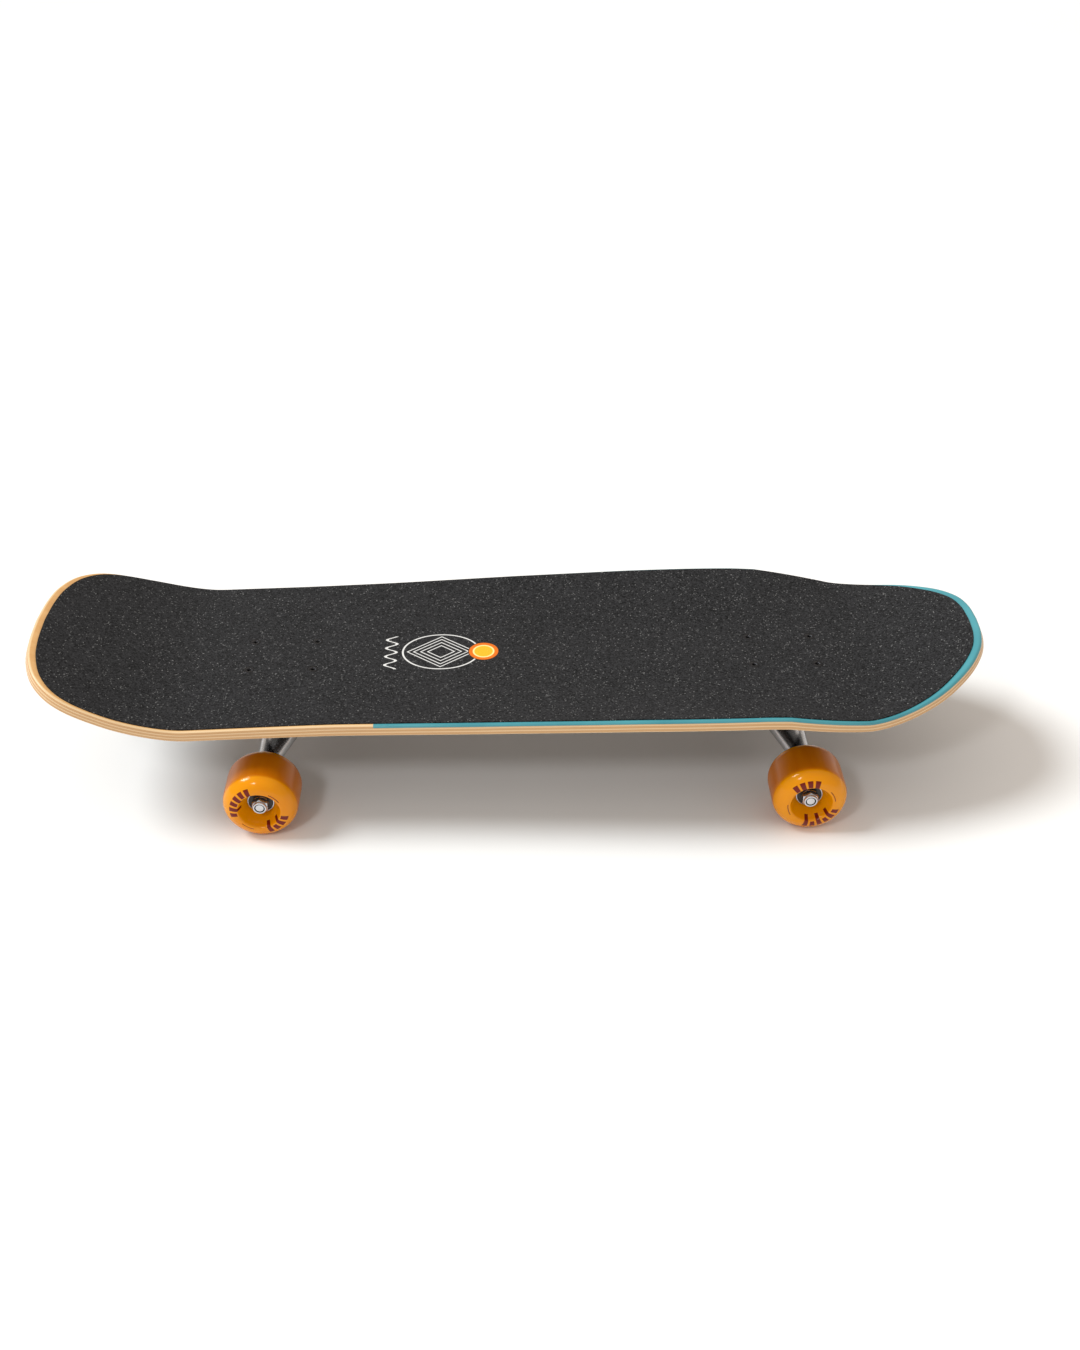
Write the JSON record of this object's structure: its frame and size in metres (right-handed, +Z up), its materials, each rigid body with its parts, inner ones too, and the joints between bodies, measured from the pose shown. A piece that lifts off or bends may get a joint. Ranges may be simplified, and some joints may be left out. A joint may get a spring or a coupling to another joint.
{
  "type": "skateboard",
  "caption": "Cruiser skateboard with a concave maple deck kicked at nose and tail, grip tape, and traditional kingpin trucks carrying wide amber urethane wheels.",
  "frame": {"origin": "on the ground under the middle of the deck's length and width, to within 2 mm along the length", "axes": "+X towards the nose, +Y to the rider's left when facing the nose, +Z up from the ground"},
  "size_m": [0.8021, 0.251, 0.14],
  "materials": {
    "maple": "clear-lacquered maple plies, with a translucent teal lacquer on the upper half of the edge from the middle to the nose",
    "grip": "coarse black abrasive sheet",
    "urethane": "glossy amber polyurethane",
    "truck_alloy": "raw cast aluminium",
    "black_paint": "black powder-coated casting",
    "zinc_steel": "bright zinc-plated steel",
    "black_steel": "black oxide steel",
    "black_rubber": "satin black"
  },
  "bodies": {
    "board": {"deck": "maple", "grip_tape": "grip", "riser_pad_rear": "black_rubber", "baseplate_rear": "black_paint", "pivot_cup_rear": "black_rubber", "kingpin_rear": "zinc_steel", "kingpin_nut_rear": "zinc_steel", "bushing_upper_rear": "black_rubber", "bushing_lower_rear": "black_rubber", "cup_washer_upper_rear": "zinc_steel", "cup_washer_lower_rear": "zinc_steel", "deck_bolt_rear_1": "black_steel", "deck_bolt_rear_2": "black_steel", "deck_bolt_rear_3": "black_steel", "deck_bolt_rear_4": "black_steel", "deck_nut_rear_1": "zinc_steel", "deck_nut_rear_2": "zinc_steel", "deck_nut_rear_3": "zinc_steel", "deck_nut_rear_4": "zinc_steel", "riser_pad_front": "black_rubber", "baseplate_front": "black_paint", "pivot_cup_front": "black_rubber", "kingpin_front": "zinc_steel", "kingpin_nut_front": "zinc_steel", "bushing_upper_front": "black_rubber", "bushing_lower_front": "black_rubber", "cup_washer_upper_front": "zinc_steel", "cup_washer_lower_front": "zinc_steel", "deck_bolt_front_1": "black_steel", "deck_bolt_front_2": "black_steel", "deck_bolt_front_3": "black_steel", "deck_bolt_front_4": "black_steel", "deck_nut_front_1": "zinc_steel", "deck_nut_front_2": "zinc_steel", "deck_nut_front_3": "zinc_steel", "deck_nut_front_4": "zinc_steel"},
    "hanger_rear": {"hanger_rear": "truck_alloy", "axle_rear": "zinc_steel", "axle_washer_rear_left": "zinc_steel", "axle_nut_rear_left": "zinc_steel", "axle_washer_rear_right": "zinc_steel", "axle_nut_rear_right": "zinc_steel"},
    "wheel_rear_left": {"wheel_rear_left": "urethane", "bearing_rear_left_outer": "zinc_steel", "bearing_rear_left_inner": "zinc_steel"},
    "wheel_rear_right": {"wheel_rear_right": "urethane", "bearing_rear_right_outer": "zinc_steel", "bearing_rear_right_inner": "zinc_steel"},
    "hanger_front": {"hanger_front": "truck_alloy", "axle_front": "zinc_steel", "axle_washer_front_left": "zinc_steel", "axle_nut_front_left": "zinc_steel", "axle_washer_front_right": "zinc_steel", "axle_nut_front_right": "zinc_steel"},
    "wheel_front_left": {"wheel_front_left": "urethane", "bearing_front_left_outer": "zinc_steel", "bearing_front_left_inner": "zinc_steel"},
    "wheel_front_right": {"wheel_front_right": "urethane", "bearing_front_right_outer": "zinc_steel", "bearing_front_right_inner": "zinc_steel"}
  },
  "joints": [
    {"name": "steer_rear", "type": "hinge", "parent": "board", "child": "hanger_rear", "pos_m": [-0.2215, 0, 0.0715], "axis": [-0.9031, 0, 0.4294], "range_deg": [-12, 12], "stiffness_Nm_per_rad": 40, "deforming": ["bushing_upper_rear", "bushing_lower_rear"]},
    {"name": "spin_rear_left", "type": "hinge", "parent": "hanger_rear", "child": "wheel_rear_left", "pos_m": [-0.2085, 0.101, 0.031], "axis": [0, 1, 0], "continuous": true},
    {"name": "spin_rear_right", "type": "hinge", "parent": "hanger_rear", "child": "wheel_rear_right", "pos_m": [-0.2085, -0.101, 0.031], "axis": [0, 1, 0], "continuous": true},
    {"name": "steer_front", "type": "hinge", "parent": "board", "child": "hanger_front", "pos_m": [0.258, 0, 0.0715], "axis": [0.9031, 0, 0.4294], "range_deg": [-12, 12], "stiffness_Nm_per_rad": 40, "deforming": ["bushing_upper_front", "bushing_lower_front"]},
    {"name": "spin_front_left", "type": "hinge", "parent": "hanger_front", "child": "wheel_front_left", "pos_m": [0.245, 0.101, 0.031], "axis": [0, 1, 0], "continuous": true},
    {"name": "spin_front_right", "type": "hinge", "parent": "hanger_front", "child": "wheel_front_right", "pos_m": [0.245, -0.101, 0.031], "axis": [0, 1, 0], "continuous": true}
  ]
}
